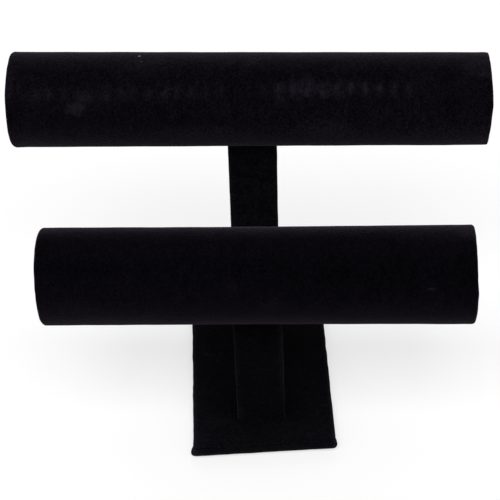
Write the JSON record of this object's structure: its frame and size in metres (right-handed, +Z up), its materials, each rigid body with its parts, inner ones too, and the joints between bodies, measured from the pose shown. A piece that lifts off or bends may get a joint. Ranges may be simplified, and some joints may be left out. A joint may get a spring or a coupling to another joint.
{
  "type": "bracelet display stand",
  "caption": "Free-standing velvet-covered display stand with round horizontal bars at stepped heights on upright posts, for showing bracelets, bangles and watches.",
  "frame": {"origin": "on the surface that the stand rests on, under the middle of the base board", "axes": "+X along the bars to the right as seen from the front, +Y from the low front bar to the high rear bar, +Z up"},
  "size_m": [0.3084, 0.1833, 0.2168],
  "materials": {
    "black_velvet": "soft black velvet with a short brushed pile",
    "black_felt": "thin pressed felt",
    "fibreboard": "bare medium-density fibreboard, sawn edges",
    "softwood": "bare planed softwood",
    "card": "spiral-wound brown card",
    "zinc_plated_steel": "bright zinc plating"
  },
  "bodies": {
    "root": {"base_liner": "black_felt", "base_cover": "black_velvet", "base_board": "fibreboard", "front_post": "softwood", "front_post_cover": "black_velvet", "front_post_screws": "zinc_plated_steel", "rear_post": "softwood", "rear_post_cover": "black_velvet", "rear_post_screws": "zinc_plated_steel", "lower_tube": "card", "lower_tube_cover": "black_velvet", "lower_bar_screws": "zinc_plated_steel", "lower_bar_washers": "zinc_plated_steel", "lower_left_disc": "card", "lower_left_disc_cover": "black_velvet", "lower_right_disc": "card", "lower_right_disc_cover": "black_velvet", "upper_tube": "card", "upper_tube_cover": "black_velvet", "upper_bar_screws": "zinc_plated_steel", "upper_bar_washers": "zinc_plated_steel", "upper_left_disc": "card", "upper_left_disc_cover": "black_velvet", "upper_right_disc": "card", "upper_right_disc_cover": "black_velvet"}
  },
  "joints": []
}
